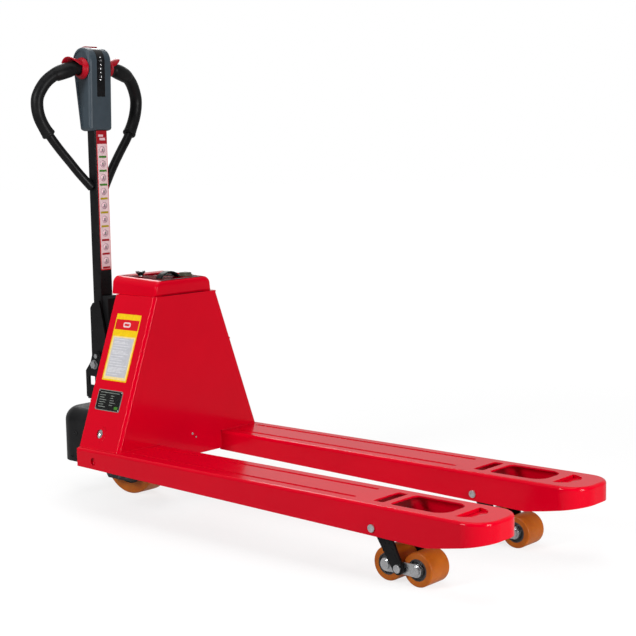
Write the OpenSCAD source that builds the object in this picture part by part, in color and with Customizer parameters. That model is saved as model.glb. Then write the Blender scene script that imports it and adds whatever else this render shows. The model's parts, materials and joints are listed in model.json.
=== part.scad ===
// Electric pallet truck, forks raised. +X runs from the tiller to the fork tips, +Y to the
// truck's left, +Z up. Z = 0 is the floor, and the origin is at the middle of the footprint.
// Lengths are in millimetres. Inside from_heel(), X = 0 is the rear end of the fork skirts.

/* [Forks] */
// Width across both forks
forks_w = 540; // [530:5:560]
// Width of one fork
fork_w = 155; // [150:1:160]
// Reach of the forks in front of the housing
fork_reach = 1148; // [1100:1:1200]
// Height of the fork tops when raised
fork_top = 181; // [179:1:184]
// Thickness of the fork and housing sheet
sheet = 4; // [3:0.5:5]
// Outer radius of the folded fork edges
fold_r = 8; // [7:1:10]
// Travel of the forks from raised to lowered
lift = 98; // [90:1:98]

/* [Housing] */
// Depth of the battery housing along the truck
housing_depth = 154; // [150:1:160]
// Half width of the housing where it meets the forks
housing_foot = 260; // [255:1:262]
// Half width of the housing under its cap
housing_neck = 114; // [112:1:118]
// Height of the housing under its cap
neck_z = 574; // [570:1:580]
// Height of the rear end of the cap's top
cap_z = 622; // [618:1:626]

/* [Wheels] */
// Diameter of the drive wheel
drive_d = 210; // [208:1:210]
// Width of the drive wheel
drive_w = 70; // [66:1:70]
// Diameter of a load roller
roller_d = 78; // [76:1:78]
// Width of a load roller
roller_w = 68; // [64:1:68]
// Distance between the two rollers of a bogie
roller_gap = 83; // [82:1:86]

/* [Tiller] */
// Height of the tiller pivot
pivot_z = 356; // [352:1:358]
// Width of the tiller tube across the truck
tube_w = 44; // [42:1:44]
// Depth of the tiller tube along the truck
tube_d = 36; // [34:1:38]
// Height of the top of the control head
head_top = 1249; // [1247:1:1251]
// Radius of the handle tube
loop_r = 12.5; // [12:0.5:14]
// Radius of the rubber grips
grip_r = 17.5; // [17:0.5:18]

/* [Hidden] */
$fn = 72;
run = 0.06;              // radial clearance of a running fit

fork_cy = (forks_w - fork_w) / 2;
chassis_len = housing_depth + fork_reach;
cover_reach = 282;       // how far the drive cover stands behind the heel
cover_top = 238;
nose_r = 60;             // corner radius of the fork noses
nose_x = chassis_len - nose_r;
dish_x = chassis_len - 96;
skirt_z = 100;           // level from which the skirts are cut to their sloping lower edge
seat = 0.4;              // depth of the seat of the housing in the fork tops

steer_x = -66;           // vertical steering axis, through the middle of the drive wheel
drive_z = drive_d / 2;

leg_x = 1004;            // pivot of the load legs
leg_z = fork_top - 53;
roller_z = roller_d / 2;
bogie_x = leg_x + 50;
leg_drop = leg_z - roller_z;
leg_len = norm([bogie_x - leg_x, leg_drop]);
leg_fold = atan2(leg_drop, bogie_x - leg_x) + asin((lift - leg_drop) / leg_len);
crank_r = 20;            // cranks of the legs and of the rocker
crank_dx = crank_r * sin(leg_fold / 2);
crank_dz = crank_r * cos(leg_fold / 2);
eye_slot = 7.2;          // play of a push rod's rear eye over the rocker's crank pin

rocker_x = 104.5;
rocker_z = leg_z + 2 * crank_dz;
arm_r = lift / 2 / sin(leg_fold / 2);
arm_x = rocker_x - arm_r * cos(leg_fold / 2);
arm_z = rocker_z - lift / 2;

cap_x = [-27, 145];      // ends of the cap, and its fall towards the forks in degrees
cap_fall = 2.66;

lean = atan2(housing_foot - housing_neck, neck_z - fork_top);
panel_len = norm([housing_foot - housing_neck, neck_z - fork_top]);

tiller_x = -190;         // middle of the tiller tube, and its pivot
tube_top = 1130;         // upper end of the tiller tube, inside the head
root_x = -195;           // axis of the handle's upper roots and of the throttle
root_z = 1187;
head_w = 80;             // width of the control head
head_split = -200;       // where the front and rear shells of the head meet
head_foot = 1014;        // underside of the head
head_r = 38.5;           // arched top of the head, and the middle of its arch
head_x = -201.5;
head_z = head_top - 4 - head_r;
bar_r = 22;              // distance from the throttle's axis to its cross bar
button_zs = [1164, 1186, 1208];
// the handle's centre line, from the tube to the head: [x, y, z]
loop_pts = [[-193, 24, 857], [-205, 58, 898], [-211, 84, 930], [-216, 111, 962],
  [-219, 137, 994], [-223, 158, 1025], [-225, 173, 1056], [-224, 179, 1088],
  [-221, 175, 1115], [-213, 155, 1148], [-203, 124, 1172], [-197, 90, 1185],
  [-195, 64, 1187], [-195, 30, 1187]];

red = [0.80, 0.02, 0.05];
black = [0.06, 0.06, 0.06];
zinc = [0.74, 0.75, 0.76];
amber = [0.72, 0.36, 0.10];
slate = [0.27, 0.31, 0.35];

// ---- helpers -------------------------------------------------------------------------

module from_heel() {
  translate([-(chassis_len - cover_reach) / 2, 0, 0]) children();
}

// a solid cylinder of radius r along Y, centred at x and z, from y0 to y1
module rod_y(x, z, r, y0, y1) {
  translate([x, y1, z]) rotate([90, 0, 0]) cylinder(r = r, h = y1 - y0);
}

// extrudes an outline drawn in X and Z along Y, from y0 to y1
module plate_y(y0, y1) {
  translate([0, y1, 0]) rotate([90, 0, 0]) linear_extrude(y1 - y0) children();
}

// extrudes an outline drawn in Y and Z along X, from x0 to x1
module plate_x(x0, x1) {
  translate([x0, 0, 0]) rotate([90, 0, 90]) linear_extrude(x1 - x0) children();
}

module box(x0, x1, y0, y1, z0, z1) {
  translate([x0, y0, z0]) cube([x1 - x0, y1 - y0, z1 - z0]);
}

module both_sides() {
  children();
  mirror([0, 1, 0]) children();
}

// a flat link with round ends and straight sides tangent to both
module link_2d(a, ra, b, rb) {
  d = b - a;
  n = norm(d);
  along = atan2(d[1], d[0]);
  tilt = acos((ra - rb) / n);
  function rim(c, r, t) = c + r * [cos(along + t), sin(along + t)];
  translate(a) circle(ra);
  translate(b) circle(rb);
  polygon([rim(a, ra, tilt), rim(b, rb, tilt), rim(b, rb, -tilt), rim(a, ra, -tilt)]);
}

// a rectangle, w wide, whose two upper corners are round
module bent_top_2d(w, top, low, r) {
  translate([-w / 2, low]) square([w, top - low - r]);
  translate([-w / 2 + r, low]) square([w - 2 * r, top - low]);
  for (side = [-1, 1]) translate([side * (w / 2 - r), top - r]) circle(r);
}

// the right half of such a rectangle, for turning about its axis
module bent_half_2d(r_out, top, low, r) {
  translate([0, low]) square([r_out, top - low - r]);
  translate([0, low]) square([r_out - r, top - low]);
  translate([r_out - r, top - r])
    intersection() {
      circle(r);
      square(r);
    }
}

// a rectangle with round corners
module round_rect_2d(x0, x1, y0, y1, r) {
  translate([x0 + r, y0]) square([x1 - x0 - 2 * r, y1 - y0]);
  translate([x0, y0 + r]) square([x1 - x0, y1 - y0 - 2 * r]);
  for (x = [x0 + r, x1 - r], y = [y0 + r, y1 - r]) translate([x, y]) circle(r);
}

// ---- forks and housing ---------------------------------------------------------------

// the fork's outer form, or with inset = sheet the space under it
module fork_form(inset, low) {
  top = fork_top - inset;
  r = fold_r - inset;
  flat = fork_w / 2 - nose_r;
  plate_x(-inset, nose_x) bent_top_2d(fork_w - 2 * inset, top, low, r);
  for (side = [-1, 1])
    translate([nose_x, side * flat, 0])
      rotate([0, 0, side > 0 ? 0 : -90])
        rotate_extrude(angle = 90) bent_half_2d(nose_r - inset, top, low, r);
  intersection() {
    translate([nose_x, 0, 0]) plate_y(-flat, flat) bent_top_2d(2 * (nose_r - inset), top, low, r);
    box(nose_x, chassis_len, -flat, flat, low - 1, top + 1);
  }
}

// the half-round entry dish pressed into the top near the nose, grown by g
module dish(g) {
  intersection() {
    translate([dish_x - 2, 0, fork_top - 16]) cylinder(r = 46 + g, h = 20);
    translate([0, 0, -g])
      plate_y(-60, 60)
        polygon([[dish_x - g, fork_top - 8], [dish_x + 50 + g, fork_top - 1],
          [dish_x + 50 + g, fork_top + 4 + g], [dish_x - g, fork_top + 4 + g]]);
  }
}

module fork(side) {
  heel_cut = 160;        // inside this half width the heel is open for the drive unit
  color(red)
    translate([0, side * fork_cy, 0])
      difference() {
        union() {
          difference() {
            fork_form(0, skirt_z);
            fork_form(sheet, skirt_z - 1);
          }
          intersection() {
            dish(sheet);
            box(dish_x - 10, chassis_len, -60, 60, skirt_z, fork_top - sheet / 2);
          }
        }
        dish(0);
        // sloping lower edge of the skirts
        plate_y(-fork_w, fork_w)
          polygon([[-10, skirt_z - 2], [-10, 131], [1150, 108], [1200, 116],
            [chassis_len + 10, 137], [chassis_len + 10, skirt_z - 2]]);
        // shallow seat of the housing
        box(-10, housing_depth, -fork_w, fork_w, fork_top - seat, fork_top + 1);
        // open heel
        mirror([0, side > 0 ? 0 : 1, 0])
          box(-10, housing_depth - sheet, -fork_w, heel_cut - fork_cy, skirt_z - 2, fork_top + 2);
        // inspection slot and roller opening
        translate([0, 0, fork_top - 30]) linear_extrude(40) {
          round_rect_2d(983, 1012, -47, 47, 6);
          round_rect_2d(1030, 1150, -50, 50, 14);
          round_rect_2d(1090, 1180, -50, 50, 34);
        }
        // two long pressed grooves
        for (y = [-42, 42])
          translate([0, y, fork_top - 1.8]) linear_extrude(4) round_rect_2d(176, 930, -6, 6, 5);
        rod_y(leg_x, leg_z, 8, -fork_w, fork_w);
        mirror([0, side > 0 ? 0 : 1, 0]) rod_y(65, 150, 10, fork_w / 2 - 12, fork_w);
      }
}

// half width of the housing's outer face at height z
function housing_y(z) = housing_foot - (z - fork_top) * tan(lean);

// a level sheet inside the housing from height z up, kept g inside its outer faces
module shelf(x0, x1, z, thick, g) {
  plate_x(x0, x1)
    polygon([for (p = [[z, 1], [z + thick, 1], [z + thick, -1], [z, -1]])
      [p[1] * (housing_y(p[0]) - g), p[0]]]);
}

// all that lies inside the left leaning panel and the front plate, whose corner is folded twice
module lean_block(inset) {
  bend = 7;
  bend_r = 5;
  front = housing_depth;
  step = bend_r * (sqrt(2) - 1);
  r = bend_r - inset;
  far = bend + step;
  deep = 600;
  side = [front - far, -bend_r];
  nose = [front - bend_r, -far];
  diag = r / sqrt(2);
  translate([0, housing_foot, fork_top])
    rotate([lean, 0, 0])
      translate([0, 0, -deep / 2])
        linear_extrude(panel_len + deep) {
          translate([-60, -deep]) square([60 + nose[0], deep + nose[1]]);
          translate([-60, -deep]) square([60 + front - inset, deep + nose[1]]);
          translate([-60, -deep]) square([60 + side[0], deep - inset]);
          polygon([[side[0], -deep / 2], [side[0], side[1] + r], side + [diag, diag],
            nose + [diag, diag], [nose[0] + r, nose[1]], [nose[0], -deep / 2]]);
          translate(side) circle(r);
          translate(nose) circle(r);
        }
}

module housing_shell() {
  tray_z = 434;
  wall_in = sheet / cos(lean);
  color(red)
    difference() {
      union() {
        difference() {
          intersection() {
            lean_block(0);
            mirror([0, 1, 0]) lean_block(0);
            box(0, 200, -300, 300, fork_top - seat, neck_z);
          }
          intersection() {
            lean_block(sheet);
            mirror([0, 1, 0]) lean_block(sheet);
          }
        }
        // apron between the forks
        box(housing_depth - sheet, housing_depth, fork_w - forks_w / 2, forks_w / 2 - fork_w,
          132, fork_top + 1);
        // ledge that carries the cap, and the battery tray
        shelf(0, housing_depth - 2, neck_z - sheet, sheet, wall_in / 2);
        shelf(2, housing_depth - 2, tray_z, sheet, wall_in / 2);
      }
      // battery shaft through the ledge
      box(4, housing_depth - sheet, -80, 80, neck_z - 10, neck_z + 10);
      // round access hole in each side panel
      both_sides()
        translate([66, housing_foot, fork_top]) rotate([lean, 0, 0])
          translate([0, 10, 42]) rotate([90, 0, 0]) cylinder(r = 12, h = 30);
    }
}

// outline of the cap, inset by g
module cap_2d(g) {
  shoulder_r = 22;
  foot_w = 106;
  top_w = 101;
  low = neck_z - 15;
  z1 = cap_z - shoulder_r;
  polygon([[g - foot_w, low], [foot_w - g, low], [top_w - g, z1], [g - top_w, z1]]);
  translate([shoulder_r - top_w, z1]) square([2 * (top_w - shoulder_r), shoulder_r - g]);
  for (side = [-1, 1]) translate([side * (top_w - shoulder_r), z1]) circle(shoulder_r - g);
}

// the cap's form or, with g, the space inside it; it falls a little towards the forks
module cap_form(g) {
  intersection() {
    translate([cap_x[0], 0, cap_z]) rotate([0, cap_fall, 0])
      translate([0, 0, -cap_z]) plate_x(-60, 260) cap_2d(g);
    box(cap_x[0] + g, cap_x[1] - g, -150, 150, neck_z, cap_z + 20);
  }
}

module top_cap() {
  color(red)
    difference() {
      cap_form(0);
      difference() {
        cap_form(3);
        box(cap_x[0], 0, -150, 150, neck_z - 1, neck_z + 3);
      }
      box(4, cap_x[1] - 3, -97, 97, neck_z - 1, neck_z + 4);
      box(0, cap_x[1] - 3, -77, 77, neck_z + 2, cap_z + 20);
    }
}

module battery_pack() {
  color(black)
    difference() {
      translate([0, 0, 438]) linear_extrude(166) round_rect_2d(7, cap_x[1] - 5, -74, 74, 8);
      // sunken field on the lid
      translate([0, 0, 600]) linear_extrude(5) round_rect_2d(40, cap_x[1] - 13, -66, 66, 6);
    }
}

module battery_handle() {
  color(black)
    plate_x(88, 108)
      intersection() {
        translate([-14, 588]) difference() {
          circle(46);
          circle(42);
        }
        translate([-70, 600]) square([120, 50]);
      }
}

module battery_connector() {
  color([0.35, 0.34, 0.27]) {
    box(88, 116, 34, 60, 600, 621);
    for (y = [36, 42, 48, 54]) box(90, 114, y, y + 4, 621, 626);
  }
}

module power_knob() {
  color(zinc)
    translate([26, -48, 604.3])
      rotate_extrude()
        polygon([[0, 0], [9, 0], [9, 5], [5.5, 8], [5.5, 17], [12.5, 25], [13.5, 28],
          [12, 30], [0, 30]]);
}

// bracket behind the housing that sits on the head of the lift ram
module head_bracket() {
  low = 484;
  shelf_z = 520;
  color(red)
    difference() {
      union() {
        translate([0, 0, shelf_z]) linear_extrude(15) {
          translate([steer_x, 0]) circle(36);
          polygon([[steer_x, 36], [0, 80], [0, -80], [steer_x, -36]]);
        }
        plate_x(0, 5)
          polygon([for (p = [[low, 1], [neck_z - sheet, 1], [neck_z - sheet, -1], [low, -1]])
            [p[1] * (housing_y(p[0]) - sheet / cos(lean)), p[0]]]);
        both_sides() plate_y(46, 52) polygon([[0, low], [0, shelf_z], [-50, shelf_z]]);
      }
      translate([steer_x, 0, 500]) cylinder(r = 8, h = 50);
    }
}

module lift_ram() {
  color(zinc)
    translate([steer_x, 0, 0]) {
      translate([0, 0, 362]) cylinder(r = 17, h = 158);
      translate([0, 0, 362]) cylinder(r = 8, h = 176);
    }
}

// bearing blocks of the rocker, under the fork tops
module rocker_blocks() {
  color(black)
    both_sides()
      difference() {
        plate_y(161, 175) {
          translate([rocker_x, rocker_z]) circle(14.5);
          translate([rocker_x - 14.5, rocker_z]) square([29, fork_top - sheet - rocker_z]);
        }
        rod_y(rocker_x, rocker_z, 12 + run, 150, 190);
      }
}

module leg_pivot_pins() {
  color(zinc)
    for (side = [-1, 1]) {
      rod_y(leg_x, leg_z, 8, side * fork_cy - fork_w / 2, side * fork_cy + fork_w / 2);
      for (end = [-1, 1]) {
        y = side * fork_cy + end * (fork_w / 2 + 1.75);
        rod_y(leg_x, leg_z, 9, y - 1.75, y + 1.75);
      }
    }
}

// ---- lift base: the parts that stay level and do not steer ------------------------------

module bearing_yoke() {
  plate_z = cover_top + 3;
  slot_r = 9.3;
  color(black)
    difference() {
      union() {
        translate([steer_x, 0, 226.5]) cylinder(r = 65, h = 25);
        translate([0, 0, plate_z]) linear_extrude(10) {
          round_rect_2d(-226, -110, -35, 35, 8);
          both_sides()
            polygon([[steer_x - 10, 60], [2, 120], [44, 120], [44, 96], [-22, 40]]);
        }
        both_sides() plate_y(112, 120) round_rect_2d(0, 44, 92, plate_z + 10, 8);
        for (x = [-210, -160], y = [-22, 22])
          translate([x, y, plate_z - 3]) cylinder(r = 7, h = 4);
      }
      translate([steer_x, 0, 220]) cylinder(r = 40 + run, h = 40);
      // slots for the rocker's pins
      plate_y(-130, 130) {
        translate([rocker_x - arm_r - 1, arm_z - slot_r])
          square([arm_x - rocker_x + arm_r + 2, 2 * slot_r]);
        for (x = [rocker_x - arm_r - 1, arm_x + 1]) translate([x, arm_z]) circle(slot_r);
      }
    }
}

// the cover's outer form, or with g = wall the space inside it
module cover_form(g, front, low) {
  corner_r = 57;
  bend = 40;
  half_w = 108;
  top = cover_top;
  cx = -cover_reach + corner_r;
  plate_x(cx, front) bent_top_2d(2 * (half_w - g), top - g, low, bend - g);
  for (side = [-1, 1])
    translate([cx, side * (half_w - corner_r), 0])
      rotate([0, 0, side > 0 ? 90 : 180])
        rotate_extrude(angle = 90) bent_half_2d(corner_r - g, top - g, low, bend - g);
  intersection() {
    translate([cx, 0, 0])
      plate_y(-half_w + corner_r, half_w - corner_r)
        bent_top_2d(2 * (corner_r - g), top - g, low, bend - g);
    box(-cover_reach, cx, -half_w, half_w, low - 1, top + 1);
  }
}

module rear_cover() {
  color(black)
    difference() {
      cover_form(0, -145, 85);
      cover_form(3, -144, 84);
    }
}

module motor_controller() {
  color([0.25, 0.26, 0.27]) {
    box(-269, -262, -46, 46, 104, 206);
    for (i = [0:8]) box(-262, -232, -42 + i * 10, -38 + i * 10, 108, 202);
    box(-232, -222, -42, 42, 108, 202);
  }
}

// ---- drive unit: turns with the tiller ------------------------------------------------

module drive_frame() {
  color(black)
    difference() {
      union() {
        translate([steer_x, 0, 213]) cylinder(r = 70, h = 8);
        translate([steer_x, 0, 221]) cylinder(r = 40, h = 31);
        plate_y(38, 46) {
          translate([steer_x, drive_z]) circle(28);
          translate([steer_x - 28, drive_z]) square([56, 213 - drive_z]);
        }
      }
      rod_y(steer_x, drive_z, 10 + run, 30, 50);
    }
}

module gearcase() {
  color(black)
    difference() {
      plate_y(-70, -38)
        polygon([for (p = [[-62, 66], [-46, 46], [46, 46], [62, 66], [62, 160], [42, 213],
          [-42, 213], [-62, 160]]) [steer_x + p[0], p[1]]]);
      rod_y(steer_x, drive_z, 10 + run, -64, -30);
    }
}

module traction_motor() {
  color([0.12, 0.12, 0.13]) {
    rod_y(steer_x, 128, 42, -104, -70);
    rod_y(steer_x, 128, 38, -108, -104);
  }
}

module parking_brake() {
  color([0.3, 0.3, 0.31]) rod_y(steer_x, 128, 28, -121, -108);
}

module pump_block() {
  color([0.45, 0.46, 0.47])
    difference() {
      box(steer_x - 40, steer_x + 40, -33, 33, 252, 300);
      translate([steer_x, 0, 250]) cylinder(r = 28, h = 60);
    }
}

module lift_cylinder() {
  color(black)
    translate([steer_x, 0, 0])
      difference() {
        union() {
          translate([0, 0, 252]) cylinder(r = 28, h = 163);
          translate([0, 0, 395]) cylinder(r = 32, h = 20);
        }
        translate([0, 0, 259]) cylinder(r = 17 + run, h = 200);
      }
}

module pump_motor() {
  color(black) {
    rod_y(steer_x, 291, 33, 33, 98);
    rod_y(steer_x, 291, 12, 98, 105);
  }
}

module oil_tank() {
  color([0.85, 0.85, 0.80])
    plate_y(-103, -33) round_rect_2d(steer_x - 36, steer_x + 36, 256, 322, 10);
}

module tiller_bracket() {
  window = [-216, -191, 296, 322];
  color(black)
    difference() {
      union() {
        both_sides()
          plate_y(34, 40) {
            polygon([[-230, 262], [-230, 336], [-208, 362], [-197, 392], [-168, 392],
              [-150, 350], [-106, 322], [-106, 256], [-216, 256]]);
            translate([tiller_x, pivot_z]) circle(19);
          }
        box(-112, -106, -40, 40, 256, 322);
        box(-224, -106, -40, 40, 256, 262);
      }
      rod_y(tiller_x, pivot_z, 8, -60, 60);
      plate_y(-60, 60) round_rect_2d(window[0], window[1], window[2], window[3], 3);
    }
}

module tiller_pivot_bolt() {
  color(zinc) {
    rod_y(tiller_x, pivot_z, 8, -40, 40);
    both_sides() {
      rod_y(tiller_x, pivot_z, 13, 40, 42);
      translate([tiller_x, 48, pivot_z]) rotate([90, 0, 0]) cylinder(r = 11.5, h = 6, $fn = 6);
      rod_y(tiller_x, pivot_z, 14, 28.4, 34);
      translate([-180, 45, 381]) rotate([90, 0, 0]) cylinder(r = 7, h = 5, $fn = 6);
    }
  }
}

module drive_tyre() {
  edge = 6;
  color(amber)
    translate([steer_x, 0, drive_z])
      rotate([90, 0, 0])
        rotate_extrude()
          difference() {
            union() {
              translate([75, -drive_w / 2]) square([drive_d / 2 - 75 - edge, drive_w]);
              translate([75, -drive_w / 2 + edge]) square([drive_d / 2 - 75, drive_w - 2 * edge]);
              for (end = [-1, 1])
                translate([drive_d / 2 - edge, end * (drive_w / 2 - edge)]) circle(edge);
            }
            translate([74, -drive_w]) square([1, 2 * drive_w]);
          }
}

module drive_hub() {
  color([0.35, 0.36, 0.37]) {
    difference() {
      rod_y(steer_x, drive_z, 75, -33, 33);
      rod_y(steer_x, drive_z, 62, 18, 34);
      rod_y(steer_x, drive_z, 62, -34, -18);
    }
    rod_y(steer_x, drive_z, 24, -37, 37);
    rod_y(steer_x, drive_z, 10, -60, 52);
  }
}

// ---- rocker, rods and load legs --------------------------------------------------------

module rocker_shaft() {
  crank = [rocker_x + crank_dx, rocker_z - crank_dz];
  inner = fork_cy - 8;     // the cranks overhang the ends of the shaft
  color(black) {
    difference() {
      union() {
        rod_y(rocker_x, rocker_z, 12, -inner, inner);
        both_sides() {
          plate_y(121, 129) link_2d([rocker_x, rocker_z], 17.5, [arm_x, arm_z], 13);
          plate_y(inner - 6, inner) link_2d([rocker_x, rocker_z], 14, crank, 10);
        }
      }
      both_sides() {
        rod_y(arm_x, arm_z, 8, 120, 130);
        rod_y(crank[0], crank[1], 5, 170, 210);
      }
    }
    both_sides() {
      rod_y(arm_x, arm_z, 8, 111, 131);
      rod_y(crank[0], crank[1], 5, inner - 6, fork_cy + 8);
      rod_y(crank[0], crank[1], 7.5, fork_cy + 8, fork_cy + 11);
    }
  }
}

module load_leg(side) {
  pin = [bogie_x, roller_z];
  pivot = [leg_x, leg_z];
  crank = [leg_x + crank_dx, leg_z + crank_dz];
  tie = pivot + 15.5 * unit(pin - pivot);
  color(black)
    translate([0, side * fork_cy, 0])
      difference() {
        union() {
          for (y = [-51, 45]) plate_y(y, y + 6) link_2d(pivot, 21, pin, 14.5);
          for (y = [-45, 8]) rod_y(leg_x, leg_z, 14, y, y + 37);
          for (y = [-14, 8]) plate_y(y, y + 6) link_2d(pivot, 14, crank, 9);
          rod_y(tie[0], tie[1], 4.5, -45, 45);
        }
        rod_y(leg_x, leg_z, 8 + run, -60, 60);
        rod_y(pin[0], pin[1], 8, -60, 60);
        rod_y(crank[0], crank[1], 5, -20, 20);
      }
}

// the two stub pins that carry the bogie beside its rollers, and the small pin of the push rod
module bogie_pin(side) {
  color(zinc)
    translate([0, side * fork_cy, 0]) {
      for (end = [-1, 1]) {
        rod_y(bogie_x, roller_z, 8, end * 43.3 - 7.7, end * 43.3 + 7.7);
        rod_y(bogie_x, roller_z, 9.5, end * 53 - 2, end * 53 + 2);
      }
      rod_y(leg_x + crank_dx, leg_z + crank_dz, 5, -15, 15);
    }
}

module push_rod(side) {
  z = leg_z + crank_dz;
  front = leg_x + crank_dx;
  back = rocker_x + crank_dx;
  slot_r = 5.3;
  color(black)
    translate([0, side * fork_cy, 0])
      difference() {
        union() {
          rod_y(front, z, 10, -7, 7);
          plate_y(-7, 7) link_2d([back, z], 10, [back, z - eye_slot], 10);
          box(back, front, -5, 5, z - 6, z + 6);
        }
        rod_y(front, z, 5 + run, -20, 20);
        plate_y(-20, 20) {
          translate([back, z]) circle(slot_r);
          translate([back, z - eye_slot]) circle(slot_r);
          translate([back - slot_r, z - eye_slot]) square([2 * slot_r, eye_slot]);
        }
      }
}

module bogie_plates(side) {
  color(zinc)
    translate([0, side * fork_cy, 0])
      difference() {
        for (y = [-40.6, 35.6])
          plate_y(y, y + 5) {
            link_2d([bogie_x - roller_gap / 2, roller_z], 15, [bogie_x, roller_z], 13);
            link_2d([bogie_x + roller_gap / 2, roller_z], 15, [bogie_x, roller_z], 13);
          }
        rod_y(bogie_x, roller_z, 8 + run, -50, 50);
        for (end = [-1, 1]) rod_y(bogie_x + end * roller_gap / 2, roller_z, 8, -50, 50);
      }
}

module bogie_axles(side) {
  color(zinc)
    translate([0, side * fork_cy, 0])
      for (end = [-1, 1]) {
        x = bogie_x + end * roller_gap / 2;
        rod_y(x, roller_z, 8, -40.6, 40.6);
        for (face = [-1, 1]) {
          rod_y(x, roller_z, 11, face * 42.6 - 2, face * 42.6 + 2);
          rod_y(x, roller_z, 15, face * 34.85 - 0.35, face * 34.85 + 0.35);
        }
      }
}

module roller_tyre(side, end) {
  edge = 4;
  bore = 25;
  color(amber)
    translate([bogie_x + end * roller_gap / 2, side * fork_cy, roller_z])
      rotate([90, 0, 0])
        rotate_extrude() {
          translate([bore, -roller_w / 2]) square([roller_d / 2 - bore - edge, roller_w]);
          translate([bore, -roller_w / 2 + edge]) square([roller_d / 2 - bore, roller_w - 2 * edge]);
          for (face = [-1, 1])
            translate([roller_d / 2 - edge, face * (roller_w / 2 - edge)]) circle(edge);
        }
}

module roller_hub(side, end) {
  color([0.16, 0.16, 0.17])
    translate([bogie_x + end * roller_gap / 2, side * fork_cy, roller_z])
      rotate([90, 0, 0])
        rotate_extrude()
          polygon([[8 + run, -33.5], [17, -33.5], [18, -31], [21, -31], [22, -33.5], [25, -33.5],
            [25, 33.5], [22, 33.5], [21, 31], [18, 31], [17, 33.5], [8 + run, 33.5]]);
}

// ---- tiller ----------------------------------------------------------------------------

module tube_2d(g) {
  round_rect_2d(tiller_x - tube_d / 2 + g, tiller_x + tube_d / 2 - g, -tube_w / 2 + g, tube_w / 2 - g,
    5 - g);
}

module tiller_tube() {
  color(black)
    difference() {
      translate([0, 0, 340]) linear_extrude(tube_top - 340) tube_2d(0);
      translate([0, 0, 339]) linear_extrude(tube_top - 338) tube_2d(2.5);
      rod_y(tiller_x, pivot_z, 8 + run, -40, 40);
    }
}

module tiller_yoke() {
  color(black)
    both_sides()
      difference() {
        plate_y(tube_w / 2, 28) {
          polygon([[-215, 352], [-215, 516], [-204, 530], [-176, 538], [-154, 440],
            [-150, 400], [-150, 362], [-172, 345]]);
          translate([tiller_x, pivot_z]) circle(22);
        }
        rod_y(tiller_x, pivot_z, 8 + run, 10, 40);
      }
}

module loom_cover() {
  color(black)
    plate_y(-18, 18) {
      polygon([[-172, 386], [-172, 552], [-156, 552], [-148, 544], [-148, 392], [-154, 386]]);
    }
}

// a smooth curve through the points p at t, which counts whole points
function along(p, t) =
  let (n = len(p) - 1, i = min(floor(t), n - 1), u = t - i,
    a = p[max(i - 1, 0)], b = p[i], c = p[i + 1], d = p[min(i + 2, n)])
  0.5 * ((2 * b) + (c - a) * u + (2 * a - 5 * b + 4 * c - d) * u * u
    + (3 * b - a - 3 * c + d) * u * u * u);

function unit(v) = v / norm(v);

// a round tube swept along loop_pts from t0 to t1, with a lip at its lower end and a palm
// swell, so many millimetres thick, under its upper end
module swept(t0, t1, rings, sides, r, lip, swell) {
  path = [for (i = [0:rings]) along(loop_pts, t0 + (t1 - t0) * i / rings)];
  function dir(i) = unit(path[min(i + 1, rings)] - path[max(i - 1, 0)]);
  function extra(s) = s > 0.62 && s < 0.87 ? swell * sqrt(sin(720 * (s - 0.62))) : 0;
  points = [for (i = [0:rings])
    let (d = dir(i), side = unit(cross([1, 0, 0], d)), up = cross(d, side),
      more = extra(i / rings), rr = r + more / 2 + (i < 2 ? lip : 0))
    for (k = [0:sides - 1])
      path[i] - [0, 0, more / 2] + rr * (cos(360 * k / sides) * side + sin(360 * k / sides) * up)];
  skin = [for (i = [0:rings - 1], k = [0:sides - 1])
    let (a = i * sides + k, b = i * sides + (k + 1) % sides)
    each [[a, b + sides, b], [a, a + sides, b + sides]]];
  first = [for (k = [0:sides - 1]) k];
  last = [for (k = [sides - 1:-1:0]) rings * sides + k];
  polyhedron(points, concat(skin, [first, last]), convexity = 6);
}

module handle_loops() {
  color(black) both_sides() swept(0, 4.6, 24, 16, loop_r, 0, 0);
}

module handle_grips() {
  color([0.03, 0.03, 0.03]) both_sides() swept(4.3, 13, 48, 18, grip_r, 1.5, 8);
}

// the head seen from the side, inset by g: arched above, and slimmer towards the tube
module head_side_2d(g) {
  foot_r = 10;
  toes = [-207, -179];
  for (x = toes)
    link_2d([head_x, head_z], head_r - g, [x, head_foot + foot_r], foot_r - g);
  translate([toes[0], head_foot + g]) square([toes[1] - toes[0], 60]);
}

// the head's form, shrunk by g, with rounded edges along both sides
module head_form(g) {
  edge = 8;
  intersection() {
    hull()
      for (t = [0:30:90]) {
        half = head_w / 2 - edge + (edge - g) * sin(t);
        plate_y(-half, half) head_side_2d(edge - (edge - g) * cos(t));
      }
    plate_x(-300, -100)
      round_rect_2d(g - head_w / 2, head_w / 2 - g, head_foot + g, head_top + 60, 16);
  }
}

// everything that is cut out of both head shells
module head_cuts() {
  rim = 3;                 // height of the rim around each side
  wall = 3;
  hollow = head_w / 2 - rim - wall;
  intersection() {
    head_form(wall);
    box(-300, -100, -hollow, hollow, head_foot, head_top);
  }
  both_sides() plate_y(head_w / 2 - rim, head_w / 2 + 1) head_side_2d(9);
  translate([0, 0, head_foot - 5]) linear_extrude(20) tube_2d(-0.3);
  both_sides() rod_y(root_x, root_z, grip_r + 2, 30, 80);
  box(-241, -202, -23, 23, head_top - 33, head_top + 10);
  for (turn = [-20:10:20])
    rod_y(root_x + bar_r * cos(turn), root_z + bar_r * sin(turn), 4.7, -80, 80);
}

module button_holes() {
  for (z = button_zs)
    translate([-180, 0, z]) rotate([0, 90, 0]) cylinder(r = 7, h = 40);
}

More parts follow.
